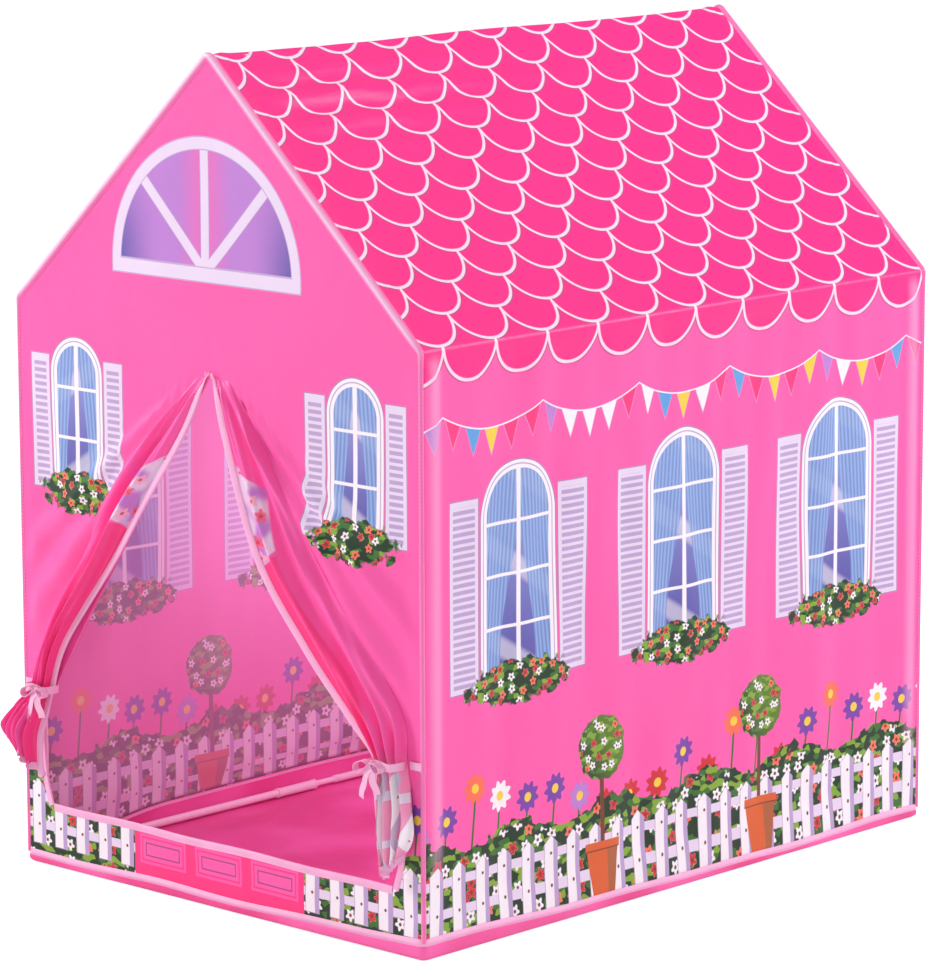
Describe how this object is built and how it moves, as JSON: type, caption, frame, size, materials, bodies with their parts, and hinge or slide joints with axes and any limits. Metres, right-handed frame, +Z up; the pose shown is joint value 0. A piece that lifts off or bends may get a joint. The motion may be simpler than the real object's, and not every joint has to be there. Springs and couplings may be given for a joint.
{
  "type": "kids play tent",
  "caption": "House-shaped play tent: fabric cover with a tied-back door, sewn floor and scalloped roof print over a frame of plastic poles and connectors.",
  "frame": {"origin": "middle of the floor sheet's underside", "axes": "+Z up, -Y out of the door, +X to the right of someone inside who faces the back wall"},
  "size_m": [0.69, 0.9691, 1.03],
  "materials": {
    "tent_fabric": "satin polyester, printed",
    "flap_fabric": "satin polyester, printed",
    "floor_fabric": "coated satin polyester",
    "piping": "woven binding",
    "ribbon": "satin ribbon",
    "pole_plastic": "smooth extruded tube",
    "connector_plastic": "moulded, satin"
  },
  "bodies": {
    "root": {"roof_and_side_cover": "tent_fabric", "front_gable": "tent_fabric", "rear_gable": "tent_fabric", "floor_sheet": "floor_fabric", "front_piping": "piping", "rear_piping": "piping", "foot_piping": "piping", "sill_binding": "piping", "base_corner_left_front": "connector_plastic", "base_corner_left_rear": "connector_plastic", "base_corner_right_front": "connector_plastic", "base_corner_right_rear": "connector_plastic", "eave_corner_left_front": "connector_plastic", "eave_corner_left_rear": "connector_plastic", "eave_corner_right_front": "connector_plastic", "eave_corner_right_rear": "connector_plastic", "ridge_joint_front": "connector_plastic", "ridge_joint_rear": "connector_plastic", "base_pole_left_front": "pole_plastic", "base_pole_left_rear": "pole_plastic", "base_pole_right_front": "pole_plastic", "base_pole_right_rear": "pole_plastic", "eave_pole_left_front": "pole_plastic", "eave_pole_left_rear": "pole_plastic", "eave_pole_right_front": "pole_plastic", "eave_pole_right_rear": "pole_plastic", "base_pole_front_left": "pole_plastic", "base_pole_front_right": "pole_plastic", "base_pole_rear_left": "pole_plastic", "base_pole_rear_right": "pole_plastic", "eave_pole_front_left": "pole_plastic", "eave_pole_front_right": "pole_plastic", "eave_pole_rear_left": "pole_plastic", "eave_pole_rear_right": "pole_plastic", "upright_left_front_lower": "pole_plastic", "upright_left_front_upper": "pole_plastic", "upright_left_rear_lower": "pole_plastic", "upright_left_rear_upper": "pole_plastic", "upright_right_front_lower": "pole_plastic", "upright_right_front_upper": "pole_plastic", "upright_right_rear_lower": "pole_plastic", "upright_right_rear_upper": "pole_plastic", "rafter_left_front": "pole_plastic", "rafter_left_rear": "pole_plastic", "rafter_right_front": "pole_plastic", "rafter_right_rear": "pole_plastic", "ridge_pole_front": "pole_plastic", "ridge_pole_rear": "pole_plastic", "left_tie_strap": "ribbon", "right_tie_strap": "ribbon"},
    "left_flap": {"left_door_flap": "flap_fabric", "left_tie_bow": "ribbon"},
    "right_flap": {"right_door_flap": "flap_fabric", "right_tie_bow": "ribbon"}
  },
  "joints": [
    {"name": "left_flap_hinge", "type": "hinge", "parent": "root", "child": "left_flap", "pos_m": [0, -0.461, 0.65], "axis": [0, -1, 0], "range_deg": [0, 24]},
    {"name": "right_flap_hinge", "type": "hinge", "parent": "root", "child": "right_flap", "pos_m": [0, -0.461, 0.65], "axis": [0, 1, 0], "range_deg": [0, 24]}
  ]
}
